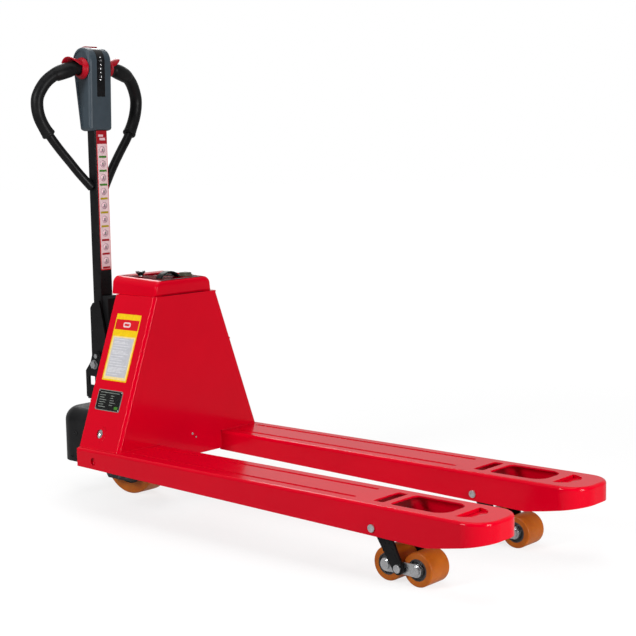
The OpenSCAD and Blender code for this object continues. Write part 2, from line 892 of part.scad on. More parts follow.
module head_front_shell() {
  color(slate)
    difference() {
      intersection() {
        head_form(0);
        box(head_split, -100, -100, 100, head_foot - 5, head_top + 10);
      }
      head_cuts();
      difference() {
        box(-199, -140, -14.3, 14.3, 1108.7, 1243);
        head_form(1.7);
      }
      button_holes();
    }
}

module head_rear_shell() {
  color(slate)
    difference() {
      intersection() {
        head_form(0);
        box(-300, head_split, -100, 100, head_foot - 5, head_top + 10);
      }
      head_cuts();
    }
}

module head_strip() {
  color(black)
    difference() {
      intersection() {
        head_form(-0.2);
        box(-198.5, -140, -14, 14, 1109, 1242.7);
      }
      head_form(1.6);
      button_holes();
    }
}

// a push button that stands a little proud of the head's front face at height z
module panel_button(z) {
  front = head_x + head_r - (head_z - z) * 0.033;
  color(zinc)
    translate([front - 1.3, 0, z]) rotate([0, 90, 0]) cylinder(r = 6.5, h = 3.1);
}

module throttle_butterfly() {
  bore = grip_r + 1.3;
  lip = head_w / 2 + 0.4;
  color(red) {
    both_sides()
      translate([root_x, 0, root_z]) rotate([-90, 0, 0]) {
        // cup around the root of the grip
        rotate_extrude()
          polygon([[bore, lip - 3], [21, lip - 3], [21, lip], [29, lip], [30, lip + 2],
            [29, lip + 5], [25, lip + 10], [22.5, lip + 15], [bore, lip + 15]]);
        // flared thumb wing
        rotate([0, 0, -170])
          rotate_extrude(angle = 110)
            polygon([[bore + 1, 52], [24, 52], [24.5, 62], [26, 70], [28.5, 78], [30, 85], [30, 90],
              [28, 91], [25.5, 84], [22.5, 76], [bore + 1.5, 66]]);
      }
    rod_y(root_x + bar_r, root_z, 3.5, -lip - 3, lip + 3);
  }
}

module belly_button() {
  color(red)
    difference() {
      intersection() {
        head_form(-3.6);
        box(-240, -203, -22, 22, head_top - 27, head_top + 10);
      }
      head_form(8);
    }
}

// ---- assembly --------------------------------------------------------------------------
from_heel() fork(1);  // fork_left
from_heel() fork(-1);  // fork_right
from_heel() housing_shell();
from_heel() top_cap();
from_heel() battery_pack();
from_heel() battery_handle();
from_heel() battery_connector();
from_heel() power_knob();
from_heel() head_bracket();
from_heel() rocker_blocks();
from_heel() leg_pivot_pins();
from_heel() lift_ram();
from_heel() bearing_yoke();
from_heel() rear_cover();
from_heel() motor_controller();
from_heel() drive_frame();
from_heel() gearcase();
from_heel() traction_motor();
from_heel() parking_brake();
from_heel() pump_block();
from_heel() lift_cylinder();
from_heel() pump_motor();
from_heel() oil_tank();
from_heel() tiller_bracket();
from_heel() tiller_pivot_bolt();
from_heel() drive_tyre();
from_heel() drive_hub();
from_heel() rocker_shaft();
from_heel() load_leg(1);  // load_leg_left
from_heel() load_leg(-1);  // load_leg_right
from_heel() bogie_pin(1);  // bogie_pin_left
from_heel() bogie_pin(-1);  // bogie_pin_right
from_heel() push_rod(1);  // push_rod_left
from_heel() push_rod(-1);  // push_rod_right
from_heel() bogie_plates(1);  // bogie_plates_left
from_heel() bogie_plates(-1);  // bogie_plates_right
from_heel() bogie_axles(1);  // bogie_axles_left
from_heel() bogie_axles(-1);  // bogie_axles_right
from_heel() roller_tyre(1, -1);  // roller_tyre_left_rear
from_heel() roller_tyre(1, 1);  // roller_tyre_left_front
from_heel() roller_tyre(-1, -1);  // roller_tyre_right_rear
from_heel() roller_tyre(-1, 1);  // roller_tyre_right_front
from_heel() roller_hub(1, -1);  // roller_hub_left_rear
from_heel() roller_hub(1, 1);  // roller_hub_left_front
from_heel() roller_hub(-1, -1);  // roller_hub_right_rear
from_heel() roller_hub(-1, 1);  // roller_hub_right_front
from_heel() tiller_tube();
from_heel() tiller_yoke();
from_heel() loom_cover();
from_heel() handle_loops();
from_heel() handle_grips();
from_heel() head_front_shell();
from_heel() head_rear_shell();
from_heel() head_strip();
from_heel() throttle_butterfly();
from_heel() belly_button();
from_heel() panel_button(button_zs[1]);  // lift_button
from_heel() panel_button(button_zs[0]);  // lower_button
from_heel() panel_button(button_zs[2]);  // horn_button
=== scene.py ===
"""Electric pallet truck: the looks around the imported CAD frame, in metres, in the frame's own axes."""
import json
import math
import random

import bmesh
import bpy
from mathutils import Matrix, Vector


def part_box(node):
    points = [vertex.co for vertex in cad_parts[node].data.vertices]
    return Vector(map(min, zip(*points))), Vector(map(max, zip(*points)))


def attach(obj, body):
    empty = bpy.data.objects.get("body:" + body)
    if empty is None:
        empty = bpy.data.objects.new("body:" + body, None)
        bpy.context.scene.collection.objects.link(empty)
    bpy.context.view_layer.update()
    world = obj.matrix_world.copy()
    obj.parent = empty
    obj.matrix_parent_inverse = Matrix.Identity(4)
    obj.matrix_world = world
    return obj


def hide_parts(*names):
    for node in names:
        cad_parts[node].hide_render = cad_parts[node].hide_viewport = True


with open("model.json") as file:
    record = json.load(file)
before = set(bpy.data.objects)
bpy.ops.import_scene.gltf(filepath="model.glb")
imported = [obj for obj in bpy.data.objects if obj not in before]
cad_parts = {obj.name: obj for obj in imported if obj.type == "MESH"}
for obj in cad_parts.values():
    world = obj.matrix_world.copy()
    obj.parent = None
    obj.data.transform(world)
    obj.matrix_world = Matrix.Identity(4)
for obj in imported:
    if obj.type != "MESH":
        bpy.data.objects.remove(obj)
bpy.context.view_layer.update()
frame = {"nodes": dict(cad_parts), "record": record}

NODES = frame["nodes"]
MM = 0.001
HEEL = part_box("fork_left")[0].x          # rear end of the fork skirts
FORK_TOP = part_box("fork_left")[1].z
LEFT = 1                                 # the sign of y on each side
RIGHT = -1
SIDES = (LEFT, RIGHT)
X_AXIS = Vector((1, 0, 0))
Y_AXIS = Vector((0, 1, 0))
Z_AXIS = Vector((0, 0, 1))
random.seed(11)


def at(x, y, z):
    """A point given in millimetres from the heel of the forks."""
    return Vector((HEEL + x * MM, y * MM, z * MM))


def turns(count):
    """Equal angles round a circle, in radians."""
    return [2 * math.pi * k / count for k in range(count)]


def add_object(name, data):
    made = bpy.data.objects.new(name, data)
    bpy.context.scene.collection.objects.link(made)
    return made


def map_range(tree, value, source, target, smooth=False):
    """Maps the source span of a value onto the target span, and gives the node's output."""
    made = tree.nodes.new("ShaderNodeMapRange")
    made.inputs["From Min"].default_value = source[0]
    made.inputs["From Max"].default_value = source[1]
    made.inputs["To Min"].default_value = target[0]
    made.inputs["To Max"].default_value = target[1]
    if smooth:
        made.interpolation_type = "SMOOTHSTEP"
    tree.links.new(value, made.inputs["Value"])
    return made.outputs[0]


# ---- camera, floor and light -------------------------------------------------------------

CAMERA_PLACE = (HEEL + 2.9385, -2.6416, 0.9698)
CAMERA_TURN = (41.2449, 6.9843, -1.0637)         # yaw, pitch and roll in degrees
SENSOR_WIDTH = 36                                # millimetres, as the lens
LENS = 80.906

HOUSING = (-0.36, -0.2, 0.4)                     # where the side and front lights are aimed
# name, place, target, width and height, watts; the side and front lights also draw the bright
# lines along the folded corners
LIGHTS = [
    ("side", (-0.55, -3.1, 1.85), HOUSING, (0.7, 1.3), 78),
    ("front", (2.7, -0.35, 0.85), HOUSING, (0.6, 1.3), 60),
    ("top", (0.2, -0.3, 3.6), (0.1, 0, 0.2), (2.6, 2.6), 38),
    ("rim", (-2.6, 1.8, 2.6), (0, 0, 0.5), (1.6, 1.6), 45),
]
ROOM_BRIGHT_WAY = (-0.70, 0.63, 0.34)            # behind the truck and overhead
ROOM_STRENGTH = (0.07, 0.72)                     # dim on the camera's side, bright the other way

FLOOR_RINGS = (0.5, 1.0, 1.5, 2.2, 3.2, 5.0, 8.0, 14.0, 30.0)
FLOOR_PARTS = 96
FLOOR_GLOW = (0.42, 1.02)                        # on the truck, and for the camera
FLOOR_FADE = (0.5, 3.2)                          # distances over which the glow takes over
FLOOR_GLOW_SHARE = (0.75, 1.0)                   # its share under the truck, and far off


def add_camera():
    yaw, pitch, roll = (math.radians(a) for a in CAMERA_TURN)
    look = Vector((-math.sin(yaw) * math.cos(pitch), math.cos(yaw) * math.cos(pitch), -math.sin(pitch)))
    level = Vector((math.cos(yaw), math.sin(yaw), 0))
    over = level.cross(look)
    right = math.cos(roll) * level + math.sin(roll) * over
    up = -math.sin(roll) * level + math.cos(roll) * over
    data = bpy.data.cameras.new("camera")
    data.sensor_width = SENSOR_WIDTH
    data.lens = LENS
    camera = add_object("camera", data)
    camera.matrix_world = Matrix.Translation(CAMERA_PLACE) @ \
        Matrix((right, up, -look)).transposed().to_4x4()
    bpy.context.scene.camera = camera


def add_light(name, place, target, size, power):
    data = bpy.data.lights.new(name, "AREA")
    data.shape = "RECTANGLE"
    data.size, data.size_y = size
    data.energy = power
    light = add_object(name, data)
    light.location = place
    light.rotation_euler = (Vector(target) - Vector(place)).to_track_quat("-Z", "Y").to_euler()


def add_room():
    """A world that is white for the camera, and lights the truck more from one way."""
    world = bpy.data.worlds.new("studio")
    bpy.context.scene.world = world
    world.use_nodes = True
    tree = world.node_tree
    tree.nodes.clear()
    out = tree.nodes.new("ShaderNodeOutputWorld")
    seen = tree.nodes.new("ShaderNodeBackground")
    seen.inputs["Color"].default_value = (1, 1, 1, 1)
    seen.inputs["Strength"].default_value = 1.0
    lit = tree.nodes.new("ShaderNodeBackground")
    coords = tree.nodes.new("ShaderNodeTexCoord")
    toward = tree.nodes.new("ShaderNodeVectorMath")
    toward.operation = "DOT_PRODUCT"
    toward.inputs[1].default_value = ROOM_BRIGHT_WAY
    tree.links.new(coords.outputs["Generated"], toward.inputs[0])
    strength = map_range(tree, toward.outputs["Value"], (-0.3, 0.9), ROOM_STRENGTH, smooth=True)
    tree.links.new(strength, lit.inputs["Strength"])
    path = tree.nodes.new("ShaderNodeLightPath")
    mix = tree.nodes.new("ShaderNodeMixShader")
    tree.links.new(path.outputs["Is Camera Ray"], mix.inputs[0])
    tree.links.new(lit.outputs[0], mix.inputs[1])
    tree.links.new(seen.outputs[0], mix.inputs[2])
    tree.links.new(mix.outputs[0], out.inputs["Surface"])


def floor_mesh():
    """A wide disc, with its rings further apart towards the rim."""
    build = bmesh.new()
    rings = [[build.verts.new((r * math.cos(t), r * math.sin(t), 0)) for t in turns(FLOOR_PARTS)]
             for r in FLOOR_RINGS]
    middle = build.verts.new((0, 0, 0))
    for k in range(FLOOR_PARTS):
        build.faces.new((middle, rings[0][k], rings[0][(k + 1) % FLOOR_PARTS]))
    for inner, outer in zip(rings, rings[1:]):
        for k in range(FLOOR_PARTS):
            after = (k + 1) % FLOOR_PARTS
            build.faces.new((inner[k], outer[k], outer[after], inner[after]))
    mesh = bpy.data.meshes.new("floor")
    build.to_mesh(mesh)
    build.free()
    return mesh


def floor_material():
    """Matt white that also glows: white for the camera, and less on the truck."""
    material = bpy.data.materials.new("floor")
    material.use_nodes = True
    tree = material.node_tree
    base = tree.nodes["Principled BSDF"]
    base.inputs["Base Color"].default_value = (0.94, 0.94, 0.94, 1)
    base.inputs["Roughness"].default_value = 0.7
    base.inputs["Specular IOR Level"].default_value = 0.1
    glow = tree.nodes.new("ShaderNodeEmission")
    path = tree.nodes.new("ShaderNodeLightPath")
    strength = map_range(tree, path.outputs["Is Camera Ray"], (0.0, 1.0), FLOOR_GLOW)
    tree.links.new(strength, glow.inputs["Strength"])
    where = tree.nodes.new("ShaderNodeTexCoord")
    distance = tree.nodes.new("ShaderNodeVectorMath")
    distance.operation = "LENGTH"
    tree.links.new(where.outputs["Object"], distance.inputs[0])
    share = map_range(tree, distance.outputs["Value"], FLOOR_FADE, FLOOR_GLOW_SHARE, smooth=True)
    mix = tree.nodes.new("ShaderNodeMixShader")
    tree.links.new(share, mix.inputs[0])
    tree.links.new(base.outputs[0], mix.inputs[1])
    tree.links.new(glow.outputs[0], mix.inputs[2])
    tree.links.new(mix.outputs[0], tree.nodes["Material Output"].inputs["Surface"])
    return material


def add_studio():
    bpy.context.scene.view_settings.view_transform = "Standard"
    add_room()
    for light in LIGHTS:
        add_light(*light)
    floor = add_object("floor", floor_mesh())
    floor.data.materials.append(floor_material())


# ---- materials ---------------------------------------------------------------------------

NOISE_SPAN = (0.3, 0.7)          # where most of a noise texture's values lie


class Shader:
    """A Principled material whose colour, roughness and bump come from procedural nodes."""

    def __init__(self, name, color, rough, metallic=0.0, **more):
        self.material = bpy.data.materials.new(name)
        self.material.use_nodes = True
        self.tree = self.material.node_tree
        self.base = self.tree.nodes["Principled BSDF"]
        self.color = color
        self.base.inputs["Base Color"].default_value = (*color, 1)
        self.base.inputs["Roughness"].default_value = rough
        self.base.inputs["Metallic"].default_value = metallic
        for key, value in more.items():
            self.base.inputs[key.replace("_", " ")].default_value = value
        self.where = self.tree.nodes.new("ShaderNodeTexCoord").outputs["Object"]
        self.normal = None

    def node(self, kind, **values):
        made = self.tree.nodes.new("ShaderNode" + kind)
        for key, value in values.items():
            setattr(made, key, value)
        return made

    def link(self, source, target):
        self.tree.links.new(source, target)

    def noise(self, scale, detail, stretch=None):
        made = self.node("TexNoise")
        made.inputs["Scale"].default_value = scale
        made.inputs["Detail"].default_value = detail
        where = self.where
        if stretch:
            mapping = self.node("Mapping")
            mapping.inputs["Scale"].default_value = stretch
            self.link(where, mapping.inputs[0])
            where = mapping.outputs[0]
        self.link(where, made.inputs["Vector"])
        return made.outputs["Fac"]

    def mottle(self, scale, detail, other):
        """Mixes the base colour with another one in patches."""
        mix = self.node("Mix", data_type="RGBA")
        self.link(map_range(self.tree, self.noise(scale, detail), NOISE_SPAN, (0.0, 1.0)),
                  mix.inputs["Factor"])
        mix.inputs["A"].default_value = (*self.color, 1)
        mix.inputs["B"].default_value = (*other, 1)
        self.link(mix.outputs["Result"], self.base.inputs["Base Color"])

    def vary_rough(self, scale, detail, low, high, stretch=None):
        value = self.noise(scale, detail, stretch)
        self.link(map_range(self.tree, value, NOISE_SPAN, (low, high)), self.base.inputs["Roughness"])

    def soft_edges(self, radius):
        """Rounds the shading of sharp edges, by a radius in millimetres."""
        made = self.node("Bevel", samples=4)
        made.inputs["Radius"].default_value = radius * MM
        self.set_normal(made)

    def grain(self, scale, detail, height):
        """Fine bumps, with their height in millimetres, on top of soft_edges where it came before."""
        made = self.node("Bump")
        made.inputs["Strength"].default_value = 1.0
        made.inputs["Distance"].default_value = height * MM
        self.link(self.noise(scale, detail), made.inputs["Height"])
        if self.normal is not None:
            self.link(self.normal, made.inputs["Normal"])
        self.set_normal(made)

    def set_normal(self, source):
        self.normal = source.outputs["Normal"]
        self.link(self.normal, self.base.inputs["Normal"])


def red_paint():
    paint = Shader("red_paint", (0.62, 0.0, 0.013), 0.15, Specular_IOR_Level=0.12)
    paint.soft_edges(1.0)
    paint.mottle(5.0, 4, (0.57, 0.0, 0.012))
    paint.vary_rough(60.0, 5, 0.12, 0.18)
    paint.grain(260.0, 2, 0.02)
    return paint.material


def black_paint():
    paint = Shader("black_paint", (0.0045, 0.0045, 0.005), 0.28, Specular_IOR_Level=0.14)
    paint.soft_edges(0.8)
    paint.mottle(25.0, 5, (0.009, 0.009, 0.0095))
    paint.vary_rough(120.0, 5, 0.24, 0.40)
    paint.grain(700.0, 3, 0.03)
    return paint.material


def black_plastic():
    plastic = Shader("black_plastic", (0.005, 0.005, 0.0056), 0.36, Specular_IOR_Level=0.16)
    plastic.soft_edges(0.8)
    plastic.mottle(18.0, 4, (0.010, 0.010, 0.011))
    plastic.vary_rough(90.0, 5, 0.32, 0.46)
    plastic.grain(1800.0, 2, 0.04)
    return plastic.material


def gloss_plastic():
    plastic = Shader("gloss_plastic", (0.004, 0.004, 0.0046), 0.10, Specular_IOR_Level=0.5)
    plastic.mottle(30.0, 4, (0.007, 0.007, 0.008))
    plastic.vary_rough(140.0, 4, 0.07, 0.16)
    plastic.grain(900.0, 2, 0.01)
    return plastic.material


def black_rubber():
    rubber = Shader("black_rubber", (0.005, 0.005, 0.0055), 0.40, Specular_IOR_Level=0.12)
    rubber.mottle(40.0, 4, (0.010, 0.010, 0.010))
    rubber.vary_rough(150.0, 4, 0.34, 0.48)
    rubber.grain(1300.0, 3, 0.06)
    return rubber.material


def zinc_steel():
    zinc = Shader("zinc_steel", (0.62, 0.63, 0.64), 0.30, metallic=1.0)
    zinc.soft_edges(0.5)
    zinc.mottle(90.0, 5, (0.44, 0.45, 0.46))
    zinc.vary_rough(240.0, 4, 0.22, 0.42)
    zinc.grain(900.0, 3, 0.04)
    return zinc.material


def chrome_steel():
    """Bright, with its roughness in fine rings along the length of the ram."""
    chrome = Shader("chrome_steel", (0.78, 0.78, 0.80), 0.10, metallic=1.0)
    chrome.mottle(50.0, 3, (0.70, 0.70, 0.72))
    chrome.vary_rough(300.0, 3, 0.06, 0.16, stretch=(1, 1, 12))
    return chrome.material


def dark_cast():
    cast = Shader("dark_cast", (0.010, 0.010, 0.011), 0.50, Specular_IOR_Level=0.35)
    cast.soft_edges(1.0)
    cast.mottle(45.0, 6, (0.019, 0.019, 0.020))
    cast.vary_rough(120.0, 4, 0.42, 0.60)
    cast.grain(520.0, 4, 0.2)
    return cast.material


def cast_aluminium():
    cast = Shader("cast_aluminium", (0.42, 0.43, 0.44), 0.45, metallic=1.0)
    cast.soft_edges(0.8)
    cast.mottle(70.0, 5, (0.30, 0.31, 0.32))
    cast.vary_rough(150.0, 4, 0.38, 0.55)
    cast.grain(800.0, 3, 0.2)
    return cast.material


def white_plastic():
    tank = Shader("white_plastic", (0.70, 0.70, 0.62), 0.40, Subsurface_Weight=0.3)
    tank.soft_edges(1.0)
    tank.mottle(12.0, 3, (0.62, 0.60, 0.48))
    tank.vary_rough(120.0, 4, 0.34, 0.48)
    tank.grain(400.0, 2, 0.1)
    return tank.material


def polyurethane():
    tyre = Shader("polyurethane", (0.48, 0.125, 0.008), 0.34, Subsurface_Weight=0.2,
                  Specular_IOR_Level=0.2, Subsurface_Radius=(0.006, 0.002, 0.0006))
    tyre.mottle(22.0, 5, (0.36, 0.080, 0.005))
    tyre.vary_rough(160.0, 5, 0.28, 0.46)
    tyre.grain(900.0, 3, 0.06)
    return tyre.material


def bearing_steel():
    steel = Shader("bearing_steel", (0.10, 0.10, 0.105), 0.35, metallic=0.9)
    steel.soft_edges(0.4)
    steel.mottle(120.0, 4, (0.05, 0.05, 0.052))
    steel.vary_rough(300.0, 4, 0.28, 0.5)
    steel.grain(700.0, 3, 0.05)
    return steel.material


def slate_plastic():
    shell = Shader("slate_plastic", (0.036, 0.054, 0.070), 0.36, Specular_IOR_Level=0.45)
    shell.soft_edges(1.2)
    shell.mottle(16.0, 4, (0.030, 0.045, 0.058))
    shell.vary_rough(110.0, 4, 0.36, 0.50)
    shell.grain(2200.0, 2, 0.06)
    return shell.material


def red_plastic():
    shell = Shader("red_plastic", (0.38, 0.0002, 0.010), 0.33, Specular_IOR_Level=0.2)
    shell.soft_edges(1.0)
    shell.mottle(20.0, 4, (0.32, 0.0002, 0.009))
    shell.vary_rough(130.0, 4, 0.28, 0.42)
    shell.grain(2000.0, 2, 0.05)
    return shell.material


def olive_plastic():
    shell = Shader("olive_plastic", (0.075, 0.072, 0.045), 0.45)
    shell.soft_edges(0.6)
    shell.mottle(60.0, 4, (0.11, 0.105, 0.07))
    shell.vary_rough(200.0, 4, 0.40, 0.56)
    shell.grain(1500.0, 2, 0.08)
    return shell.material


def brown_plastic():
    shell = Shader("brown_plastic", (0.055, 0.038, 0.028), 0.5, Specular_IOR_Level=0.3)
    shell.soft_edges(0.8)
    shell.mottle(80.0, 4, (0.035, 0.022, 0.016))
    shell.vary_rough(160.0, 4, 0.42, 0.6)
    return shell.material


def ink(name, color, rough):
    """Printed vinyl: one colour, a little uneven, with a soft gloss."""
    vinyl = Shader("ink_" + name, color, rough, Specular_IOR_Level=0.3)
    vinyl.mottle(140.0, 4, tuple(0.86 * c for c in color))
    vinyl.vary_rough(300.0, 3, rough - 0.06, rough + 0.08)
    return vinyl.material


MAKERS = [red_paint, black_paint, black_plastic, gloss_plastic, black_rubber, zinc_steel, chrome_steel,
          dark_cast, cast_aluminium, white_plastic, polyurethane, bearing_steel, slate_plastic,
          red_plastic, olive_plastic, brown_plastic]
MATERIALS = {maker.__name__: maker() for maker in MAKERS}
INK_ROUGH = 0.35
SMOOTH_INKS = {"black": 0.25, "silver": 0.3}
INK_COLORS = {
    "yellow": (0.86, 0.56, 0.0),
    "cream": (0.86, 0.68, 0.30),
    "red": (0.66, 0.0, 0.008),
    "dark_red": (0.36, 0.002, 0.010),
    "pink": (0.80, 0.58, 0.60),
    "pale_pink": (0.76, 0.50, 0.54),
    "mauve": (0.34, 0.20, 0.26),
    "grey": (0.52, 0.52, 0.56),
    "ruled": (0.72, 0.72, 0.74),
    "green": (0.05, 0.20, 0.02),
    "gold": (0.42, 0.30, 0.0),
    "black": (0.006, 0.006, 0.006),
    "silver": (0.20, 0.22, 0.20),
}
INKS = {name: ink(name, color, SMOOTH_INKS.get(name, INK_ROUGH)) for name, color in INK_COLORS.items()}


def dress_nodes():
    """Gives each CAD node the material of its slot in the record, and the head's strip a gloss."""
    for part in frame["record"]["subparts"]:
        mesh = NODES[part["node"]].data
        mesh.materials.clear()
        mesh.materials.append(MATERIALS[part["material_slot"]])
    NODES["head_strip"].data.materials[0] = MATERIALS["gloss_plastic"]


# ---- building pieces ---------------------------------------------------------------------

CORNER_STEPS = 5         # segments in each rounded corner of a block


class Piece:
    """A mesh put together from swept, turned and flat shapes, each with its own material."""

    def __init__(self):
        self.build = bmesh.new()
        self.materials = []

    def number(self, material):
        if material not in self.materials:
            self.materials.append(material)
        return self.materials.index(material)

    def skin(self, rings, material, looped=False, smooth=True):
        """Joins rings of points, each with the same count, into a closed tube or, looped, a ring."""
        rows = [[self.build.verts.new(p) for p in ring] for ring in rings]
        count = len(rows[0])
        made = []
        for low, high in zip(rows, rows[1:] + rows[:1] if looped else rows[1:]):
            for k in range(count):
                after = (k + 1) % count
                made.append(self.build.faces.new((low[k], low[after], high[after], high[k])))
        if not looped:
            made.append(self.build.faces.new(rows[0][::-1]))
            made.append(self.build.faces.new(rows[-1]))
        for face in made:
            face.material_index = self.number(material)
            face.smooth = smooth

    def turned(self, origin, axis, profile, material, sides=32, looped=False):
        """Turns (radius, height) points in millimetres about an axis through origin."""
        axis = Vector(axis).normalized()
        first = axis.orthogonal().normalized()
        second = axis.cross(first)
        rings = [[origin + axis * h * MM + r * MM * (first * math.cos(t) + second * math.sin(t))
                  for t in turns(sides)] for r, h in profile]
        self.skin(rings, material, looped)

    def block(self, plane, u, v, w, radius, material):
        """A flat block on a plane: u, v and w are its spans across, up and out, in millimetres."""
        origin, across, up = plane
        out = across.cross(up)
        outline = []
        corners = [(u[1], v[1], 0), (u[0], v[1], 90), (u[0], v[0], 180), (u[1], v[0], 270)]
        for cu, cv, turn in corners:
            mu = cu - radius if cu == u[1] else cu + radius
            mv = cv - radius if cv == v[1] else cv + radius
            for k in range(CORNER_STEPS + 1):
                t = math.radians(turn + 90 * k / CORNER_STEPS)
                outline.append((mu + radius * math.cos(t), mv + radius * math.sin(t)))
        rings = [[origin + (across * pu + up * pv + out * h) * MM for pu, pv in outline] for h in w]
        self.skin(rings, material, smooth=False)

    def finish(self, name, body, slot, *replaced):
        """Makes the object, on its body, in place of the replaced nodes; slot is not used."""
        bmesh.ops.recalc_face_normals(self.build, faces=self.build.faces)
        mesh = bpy.data.meshes.new(name)
        self.build.to_mesh(mesh)
        self.build.free()
        for material in self.materials:
            mesh.materials.append(material)
        made = add_object(name, mesh)
        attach(made, body)
        if replaced:
            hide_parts(*replaced)


# ---- labels ------------------------------------------------------------------------------

FOOT = 260.0             # half width of the housing at the fork tops
NECK = 114.0             # half width of the housing under its cap, at NECK_Z
NECK_Z = 574.0
TOP_Z = FORK_TOP / MM
LEAN = math.atan2(FOOT - NECK, NECK_Z - TOP_Z)

LABEL_X = 72             # middle of the labels on the side panel
BACKING = (-0.1, 0.25)   # spans out of the face: a label's vinyl, and the layers printed on it
FIELD = (0.2, 0.32)
PRINT = (0.3, 0.38)


def panel_plane(x, z, side):
    """A plane on the leaning side panel, with its middle at x and z."""
    y = FOOT - (z - TOP_Z) * math.tan(LEAN)
    up = Vector((0, -side * math.sin(LEAN), math.cos(LEAN)))
    across = Vector((-side, 0, 0))
    return at(x, side * y, z), across, up


def side_label():
    """A plain instruction label: coloured fields and ruled lines, with nothing written on it."""
    card = Piece()
    plane = panel_plane(LABEL_X, 440.5, RIGHT)
    half_u = 48
    half_v = 91
    card.block(plane, (-half_u, half_u), (-half_v, half_v), BACKING, 2.5, INKS["yellow"])
    card.block(plane, (-half_u + 3, half_u - 3), (48, 76), FIELD, 0.8, INKS["red"])
    card.block(plane, (-14, 14), (55, 69), (0.3, 0.40), 5, INKS["pink"])
    card.block(plane, (-10, 10), (59, 65), (0.38, 0.45), 2.5, INKS["red"])
    card.block(plane, (-half_u + 4, half_u - 4), (-half_v + 4, 30), FIELD, 1.5, INKS["cream"])
    card.block(plane, (-half_u + 10, half_u - 9), (-half_v + 11, 26), PRINT, 0.8, INKS["grey"])
    v = 21
    while v > -half_v + 14:
        short = random.uniform(0, 34)
        card.block(plane, (-half_u + 13, half_u - 12 - short), (v, v + 1.4), (0.36, 0.42), 0.4,
                   INKS["ruled"])
        v -= random.choice((3.6, 3.6, 7.0))
    card.finish("side_label", "chassis", "white_plastic")


def data_plate():
    """The black plate under the label, with a bright frame, plain bars and four rivets."""
    card = Piece()
    plane = panel_plane(LABEL_X - 0.5, 305.5, RIGHT)
    middle, across, up = plane
    silver = INKS["silver"]
    raised = (0.5, 0.7)
    rows = 6
    card.block(plane, (-48, 48), (-28, 28), (-0.1, 0.5), 5, silver)
    card.block(plane, (-46, 46), (-26, 26), (0.4, 0.6), 4, INKS["black"])
    card.block(plane, (-38, 36), (19.5, 21.5), raised, 0.5, silver)
    for row in range(rows):
        v = 12 - row * 6.2
        card.block(plane, (-38, -20 + random.uniform(0, 14)), (v, v + 2), raised, 0.5, silver)
        if row < rows - 1:
            card.block(plane, (4, 14 + random.uniform(0, 12)), (v, v + 2), raised, 0.5, silver)
    card.block(plane, (26, 40), (-22, -14), raised, 2, INKS["green"])
    for u in (-43.5, 43.5):
        for v in (-23.5, 23.5):
            card.turned(middle + (across * u + up * v) * MM, across.cross(up),
                        [(1.5, 0.4), (1.5, 0.8), (1.0, 1.2), (0.3, 1.3)], MATERIALS["zinc_steel"], 12)
    card.finish("data_plate", "chassis", "cast_aluminium")


def tiller_sticker():
    """The long sticker on the tiller: nine plain discs, each above a green, gold or red bar."""
    card = Piece()
    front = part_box("tiller_tube")[1].x
    plane = (Vector((front, 0, 0)), Y_AXIS, Z_AXIS)
    foot = 624           # heights above the floor
    heading = 978        # where the pink field ends and the plain heading begins
    top = 1015
    first_bar = 942
    bar_pitch = 38.9
    card.block(plane, (-18.5, 19.5), (foot, top), BACKING, 1.5, INKS["red"])
    card.block(plane, (-18.5, 19.5), (heading, top), (0.15, 0.28), 1.5, INKS["dark_red"])
    card.block(plane, (-16, 18), (foot + 3, heading), FIELD, 1.0, INKS["pink"])
    card.block(plane, (-12, 6), (998, 1004), (0.24, 0.36), 1.5, INKS["pale_pink"])
    card.block(plane, (-8, 13), (988, 995), (0.24, 0.36), 1.5, INKS["pale_pink"])
    bars = ["green"] * 3 + ["gold"] * 3 + ["dark_red"] * 3
    for row, color in enumerate(bars):
        v = first_bar - row * bar_pitch
        card.block(plane, (-12, 15), (v - 2.9, v + 2.9), PRINT, 1.2, INKS[color])
        disc = plane[0] + Vector((0.30 * MM, 1.5 * MM, (v + 19.5) * MM))
        card.turned(disc, X_AXIS, [(10.0, 0), (10.0, 0.08)], INKS["mauve"], 28)
        card.turned(disc, X_AXIS, [(8.8, 0.04), (8.8, 0.14)], INKS["pale_pink"], 28)
        card.block(plane, (-4, 6), (v + 14, v + 17), (0.36, 0.48), 1, INKS["mauve"])
        card.block(plane, (-1, 4), (v + 17, v + 23), (0.36, 0.48), 1, INKS["silver"])
    card.finish("tiller_sticker", "tiller", "white_plastic")


# ---- handle ------------------------------------------------------------------------------

# the left loop, from the tiller up and round to the head, in millimetres from the heel
LOOP = [(-193, 24, 857), (-205, 58, 898), (-211, 84, 930), (-216, 111, 962), (-219, 137, 994),
        (-223, 158, 1025), (-225, 173, 1056), (-224, 179, 1088), (-221, 175, 1115), (-213, 155, 1148),
        (-203, 124, 1172), (-197, 90, 1185), (-195, 64, 1187), (-195, 30, 1187)]
ARM_SPAN = (0, 4.6)      # the stretches of the loop, in its points, of bare tube and of grip
GRIP_SPAN = (4.3, 13)
ARM_MESH = (60, 28)      # steps along a stretch, and sides round it
GRIP_MESH = (250, 36)
TUBE_R = 12.5
# (share of the grip's length, radius): a stepped rim at the lower end, then the plain grip
GRIP_STEPS = [(0.000, 15.6), (0.004, 18.2), (0.010, 19.0), (0.022, 19.0), (0.026, 18.2), (0.032, 17.9),
              (0.048, 17.9), (0.054, 17.4), (0.10, 17.0), (0.50, 17.3), (1.0, 17.5)]
SWELL_START = 0.62       # the palm swell, in shares of the grip's length
SWELL_END = 0.87
SWELL_EASE = 0.02
SWELL_DEPTH = 8


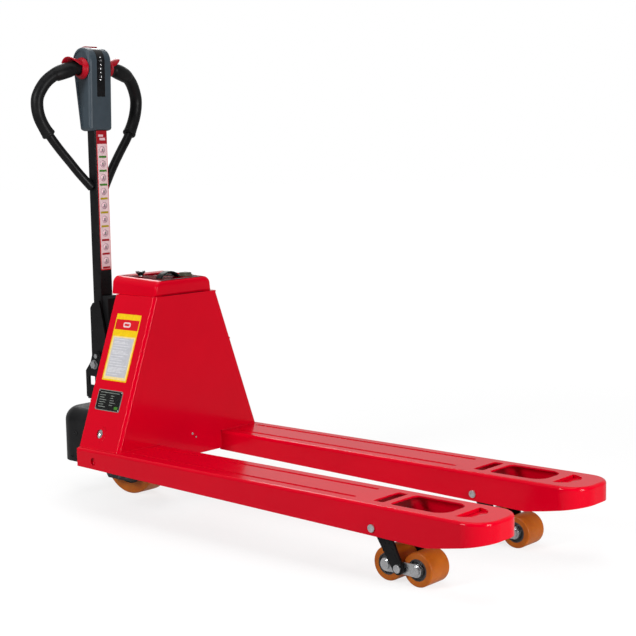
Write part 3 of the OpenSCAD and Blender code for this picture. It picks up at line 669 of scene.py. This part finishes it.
def along(points, t):
    """A smooth curve through the points; t counts whole points."""
    i = min(int(t), len(points) - 2)
    u = t - i
    a, b, c, d = (Vector(points[max(0, min(k, len(points) - 1))]) for k in (i - 1, i, i + 1, i + 2))
    return 0.5 * (2 * b + (c - a) * u + (2 * a - 5 * b + 4 * c - d) * u * u
                  + (3 * b - a - 3 * c + d) * u * u * u)


def handle_rings(side, span, mesh, form):
    """Rings along one loop; form(s) gives the radius and the extra depth under the tube."""
    start, end = span
    count, sides = mesh
    path = [along(LOOP, start + (end - start) * i / count) for i in range(count + 1)]
    rings = []
    for i, p in enumerate(path):
        ahead = (path[min(i + 1, count)] - path[max(i - 1, 0)]).normalized()
        across = X_AXIS.cross(ahead).normalized()
        up = ahead.cross(across)
        radius, extra = form(i / count)
        middle = p - Z_AXIS * extra / 2
        around = radius + extra / 2
        points = [middle + around * (across * math.cos(t) + up * math.sin(t)) for t in turns(sides)]
        rings.append([at(q.x, side * q.y, q.z) for q in points])
    return rings


def arm_form(s):
    return TUBE_R, 0.0


def grip_form(s):
    """The stepped rim and plain grip, with a palm swell under the upper part."""
    for (s0, r0), (s1, r1) in zip(GRIP_STEPS, GRIP_STEPS[1:]):
        if s <= s1:
            radius = r0 + (r1 - r0) * (s - s0) / (s1 - s0)
            break
    swell = 0.0
    if SWELL_START < s < SWELL_END:
        share = (s - SWELL_START) / (SWELL_END - SWELL_START)
        ease = min(1.0, (s - SWELL_START) / SWELL_EASE, (SWELL_END - s) / SWELL_EASE)
        swell = SWELL_DEPTH * math.sqrt(abs(math.sin(math.pi * share)) * ease)
    return radius, swell


def add_handle():
    arms = Piece()
    grips = Piece()
    for side in SIDES:
        arms.skin(handle_rings(side, ARM_SPAN, ARM_MESH, arm_form), MATERIALS["black_paint"])
        grips.skin(handle_rings(side, GRIP_SPAN, GRIP_MESH, grip_form), MATERIALS["black_rubber"])
    arms.finish("handle_arms_round", "tiller", "black_paint", "handle_loops")
    grips.finish("handle_grips_round", "tiller", "black_rubber", "handle_grips")


# ---- control head ------------------------------------------------------------------------

THROTTLE_X = -195        # the axis of the throttle and of the grips' upper ends
THROTTLE_Z = 1187
CROWN_Z = 1206.5         # the head's front is straight below this height, and arched above it
CROWN_R = 38.5
FRONT_SLOPE = 0.033


def strip_lamps():
    """Four small lamps above, between and below the buttons on the head's control strip."""
    piece = Piece()
    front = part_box("head_strip")[1].x
    for z in (1217.5, 1197, 1175, 1156):
        lean = max(0.0, CROWN_Z - z) * FRONT_SLOPE
        arch = CROWN_R - math.sqrt(CROWN_R ** 2 - max(0.0, z - CROWN_Z) ** 2)
        place = Vector((front - (lean + arch) * MM, 0, z * MM))
        piece.turned(place, X_AXIS, [(2.4, -0.6), (2.4, 0.3), (1.9, 0.7), (1.0, 1.0), (0.2, 1.1)],
                     MATERIALS["chrome_steel"], 20)
    piece.finish("strip_lamps", "tiller", "chrome_steel")


def button_tops():
    """Each push button as a dark dished cap with a bright dot in its middle."""
    for name in ("lift", "lower", "horn"):
        node = name + "_button"
        low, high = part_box(node)
        face = Vector((high.x, (low.y + high.y) / 2, (low.z + high.z) / 2))
        r = (high.z - low.z) / 2 / MM
        deep = (low.x - high.x) / MM
        piece = Piece()
        piece.turned(face, X_AXIS, [(r, deep), (r, -0.5), (r * 0.9, 0), (r * 0.62, -0.3), (0.02, -0.5)],
                     MATERIALS["gloss_plastic"])
        piece.turned(face, X_AXIS, [(0.02, -0.9), (2.6, -0.9), (2.6, -0.1), (1.7, 0.1), (0.02, 0.15)],
                     MATERIALS["chrome_steel"], 20)
        piece.finish(name + "_button_cap", name + "_switch", "zinc_steel", node)


def wing_section(side, y, inner, outer, start, end):
    """One ring of a thumb wing at y: an arc from start to end degrees, with thinned ends."""
    steps = 20
    mean = (inner + outer) / 2
    arc = []
    for k in range(steps + 1):
        half = (outer - inner) / 2 * max(0.2, math.sin(math.pi * k / steps) ** 0.4)
        arc.append((math.radians(start + (end - start) * k / steps), half))
    outline = [(t, mean + half) for t, half in arc] + [(t, mean - half) for t, half in arc[::-1]]
    return [at(THROTTLE_X + r * math.cos(t), side * y, THROTTLE_Z + r * math.sin(t)) for t, r in outline]


def throttle_wings():
    """The two thumb wings with their cups round the roots of the grips, and the bar between them."""
    piece = Piece()
    red = MATERIALS["red_plastic"]
    cup = [(18.9, 0), (21, 0), (21, 3), (28.0, 3), (29.4, 3.6), (30, 5), (29.6, 7), (27.6, 10),
           (25.2, 13.4), (23.6, 17), (22.6, 18.2), (18.9, 18.2)]
    # y, inner and outer radius, first and last degree: the wing narrows and lifts towards its tip
    sections = [(50, 19.3, 24.0, 14, 168), (56, 19.3, 24.6, 16, 168), (63, 19.5, 25.6, 22, 168),
                (70, 20.2, 27.4, 32, 168), (77, 21.6, 29.4, 44, 167), (84, 23.8, 31.2, 58, 164),
                (89, 26.2, 31.6, 72, 158), (92, 28.2, 30.8, 84, 150)]
    for side in SIDES:
        piece.turned(at(THROTTLE_X, side * 37.4, THROTTLE_Z), (0, side, 0), cup, red, 56, looped=True)
        piece.skin([wing_section(side, *section) for section in sections], red)
    piece.turned(at(THROTTLE_X + 22, -43, THROTTLE_Z), Y_AXIS, [(3.4, 0), (3.4, 86)], red, 20)
    piece.finish("throttle_wings", "throttle", "red_plastic", "throttle_butterfly")


# ---- cap and battery ---------------------------------------------------------------------

def folded_edges(build, front):
    """The sharp edges of the cap that lie in its front face."""
    found = []
    for edge in build.edges:
        on_front = all(abs(v.co.x - front) < 0.05 * MM for v in edge.verts)
        if on_front and len(edge.link_faces) == 2 and edge.calc_face_angle(0) > math.radians(40):
            found.append(edge)
    return found


def rounded_cap():
    """The housing's cap with the soft folded edge that it has round its front."""
    build = bmesh.new()
    build.from_mesh(NODES["top_cap"].data)
    bmesh.ops.remove_doubles(build, verts=build.verts, dist=0.01 * MM)
    bmesh.ops.dissolve_limit(build, angle_limit=math.radians(1), verts=build.verts, edges=build.edges)
    edges = folded_edges(build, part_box("top_cap")[1].x)
    bmesh.ops.bevel(build, geom=edges, offset=7.5 * MM, segments=5, profile=0.5, affect="EDGES")
    for face in build.faces:
        face.smooth = True
    mesh = bpy.data.meshes.new("cap_folded")
    build.to_mesh(mesh)
    build.free()
    mesh.materials.append(MATERIALS["red_paint"])
    mesh.set_sharp_from_angle(angle=math.radians(35))
    made = add_object("cap_folded", mesh)
    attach(made, "chassis")
    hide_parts("top_cap")


def battery_seal():
    """The raised edge round the battery's lid, just inside the cap."""
    piece = Piece()
    low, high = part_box("battery_pack")
    corner_r = 10
    corner_steps = 6
    foot_z = 603.0
    # (outwards from the lid's edge, up from the foot)
    profile = [(-8, 0), (-0.6, 0), (-0.6, 10.5), (-1.6, 12), (-4.0, 12.5), (-6.6, 12), (-8, 10.5)]
    outline = []
    for x, y, turn in ((high.x, high.y, 0), (low.x, high.y, 90), (low.x, low.y, 180), (high.x, low.y, 270)):
        for k in range(corner_steps + 1):
            outline.append((x, y, math.radians(turn + 90 * k / corner_steps)))
    rings = []
    for grow, rise in profile:
        r = (corner_r + grow) * MM
        ring = []
        for x, y, t in outline:
            cx = x - math.copysign(corner_r * MM, x - (low.x + high.x) / 2)
            cy = y - math.copysign(corner_r * MM, y)
            ring.append(Vector((cx + r * math.cos(t), cy + r * math.sin(t), (foot_z + rise) * MM)))
        rings.append(ring)
    piece.skin(rings, MATERIALS["black_plastic"], looped=True)
    piece.finish("battery_seal", "chassis", "black_plastic")


def strap_anchor():
    """The brown anchor of the battery strap, with its three rivets."""
    piece = Piece()
    brown = MATERIALS["brown_plastic"]
    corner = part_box("battery_handle")[0]
    plane = (corner, X_AXIS, Y_AXIS)
    piece.block(plane, (-3, 23), (-6, 8), (-0.5, 5), 2.5, brown)
    piece.block(plane, (0, 20), (-3, 6), (4.5, 8), 2, brown)
    for u in (3, 10, 17):
        screw(piece, corner + Vector((u, -4, 5)) * MM, Z_AXIS, 1.6, MATERIALS["bearing_steel"])
    piece.finish("strap_anchor", "chassis", "black_plastic")


# ---- screws, linings and welds -----------------------------------------------------------

PANEL_HOLE = (66, TOP_Z + 39.4)          # x and z of the round hole in each side panel
SKIRT_HOLE = (65, 150)                   # and of the one in each fork's outer skirt
LINING_DEPTH = 4.2                       # behind the panel's face, clear of its sheet
BEAD_STEP = 3.2                          # millimetres from ripple to ripple of a weld
BEAD_SIDES = 10


def screw(piece, place, axis, r, material):
    """A domed head with a socket in it."""
    profile = [(r * 1.35, -0.3), (r * 1.35, 0.5), (r * 1.05, 0.55), (r, 0.9), (r, r * 0.6),
               (r * 0.86, r * 0.85), (r * 0.55, r * 0.95), (r * 0.5, r * 0.5)]
    piece.turned(place, axis, profile, material, 20)


def front_screws():
    """Two small screws on the front plate, near its foot."""
    piece = Piece()
    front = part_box("housing_shell")[1].x
    for y, z, r in ((7, 190, 2.6), (20, 179, 2.0)):
        screw(piece, Vector((front, y * MM, z * MM)), X_AXIS, r, MATERIALS["zinc_steel"])
    piece.finish("front_screws", "chassis", "zinc_steel")


def cover_fasteners():
    """A round plug and two screws on each side of the rear cover."""
    piece = Piece()
    black = MATERIALS["black_plastic"]
    plug = [(8, -1), (8, 0.4), (7.2, 1.1), (5.6, 1.2), (5.2, 0.5), (0.4, 0.5)]
    low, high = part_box("rear_cover")
    for side, face in ((LEFT, high.y), (RIGHT, low.y)):
        piece.turned(Vector((HEEL - 203 * MM, face, 168 * MM)), (0, side, 0), plug, black, 28)
        for x in (-222, -160):
            screw(piece, Vector((HEEL + x * MM, face, 100 * MM)), (0, side, 0), 3.4, black)
    piece.finish("cover_fasteners", "lift_base", "black_plastic")


def gearcase_bolts():
    """Socket screws round the cover of the gearcase."""
    piece = Piece()
    low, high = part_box("gearcase")
    middle = (low.x + high.x) / 2
    for dx, z in ((-48, 72), (-34, 56), (0, 52), (34, 56), (48, 72), (-50, 100), (50, 100)):
        screw(piece, Vector((middle + dx * MM, low.y, z * MM)), (0, -1, 0), 3.8,
              MATERIALS["bearing_steel"])
    piece.finish("gearcase_screws", "drive_unit", "bearing_steel")


def hole_linings():
    """Closed cups behind the round holes: red in the fork skirts, grey in the housing's sides."""
    red = Piece()
    grey = Piece()
    for side in SIDES:
        x, z = SKIRT_HOLE
        red.turned(at(x, side * 265.8, z), (0, -side, 0),
                   [(0.02, 4), (13, 4), (13, 0), (10.4, 0), (10.2, 2.5), (0.02, 2.8)],
                   MATERIALS["red_paint"])
        origin, across, up = panel_plane(*PANEL_HOLE, side)
        inward = -across.cross(up)
        grey.turned(origin + inward * LINING_DEPTH * MM, inward,
                    [(0.02, 5), (15, 5), (15, 0), (12.4, 0), (11.5, 2.5), (0.02, 3)],
                    MATERIALS["zinc_steel"])
    red.finish("skirt_hole_linings", "chassis", "red_paint")
    grey.finish("panel_hole_linings", "chassis", "zinc_steel")


def weld_bead(piece, start, end, r):
    """A slightly uneven bead laid along a line."""
    count = max(2, int((end - start).length / (BEAD_STEP * MM)))
    ahead = (end - start).normalized()
    across = ahead.orthogonal().normalized()
    up = ahead.cross(across)
    rings = []
    for i in range(count + 1):
        around = r * MM * (1 + 0.16 * (i % 2) + random.uniform(-0.08, 0.08))
        middle = start + (end - start) * i / count
        rings.append([middle + around * (across * math.cos(t) + up * math.sin(t))
                      for t in turns(BEAD_SIDES)])
    piece.skin(rings, MATERIALS["red_paint"])


def foot_welds(piece, side):
    """Beads along the foot of the side panel and of the front plate, and up the edge of the apron."""
    panel = side * (FOOT - 0.4)
    front = 153.8
    apron = side * 115.2
    weld_bead(piece, at(3, panel, TOP_Z), at(140, panel, TOP_Z), 1.6)
    weld_bead(piece, at(front, side * 252, TOP_Z), at(front, side * 118, TOP_Z), 1.5)
    weld_bead(piece, at(front + 0.2, apron, 134), at(front + 0.2, apron, TOP_Z - 2), 1.4)


def hole_welds(piece, side):
    """Short beads that point away from the round hole in the side panel, on its front half."""
    origin, across, up = panel_plane(*PANEL_HOLE, side)
    for turn in range(-60, 75, 15):
        t = math.radians(turn if side < 0 else 180 - turn)
        start = (19 + random.uniform(0, 3)) * MM
        end = start + random.uniform(3, 9) * MM
        ray = across * math.cos(t) + up * math.sin(t)
        weld_bead(piece, origin + ray * start, origin + ray * end, 1.0)


def welds():
    """Painted weld beads at the foot of the housing and beside its round holes."""
    piece = Piece()
    for side in SIDES:
        foot_welds(piece, side)
    for side in SIDES:
        hole_welds(piece, side)
    piece.finish("weld_beads", "chassis", "red_paint")


def add_pieces():
    side_label()
    data_plate()
    tiller_sticker()
    add_handle()
    strip_lamps()
    button_tops()
    throttle_wings()
    rounded_cap()
    battery_seal()
    hole_linings()
    front_screws()
    cover_fasteners()
    gearcase_bolts()
    welds()
    strap_anchor()


add_camera()
add_studio()
dress_nodes()
add_pieces()
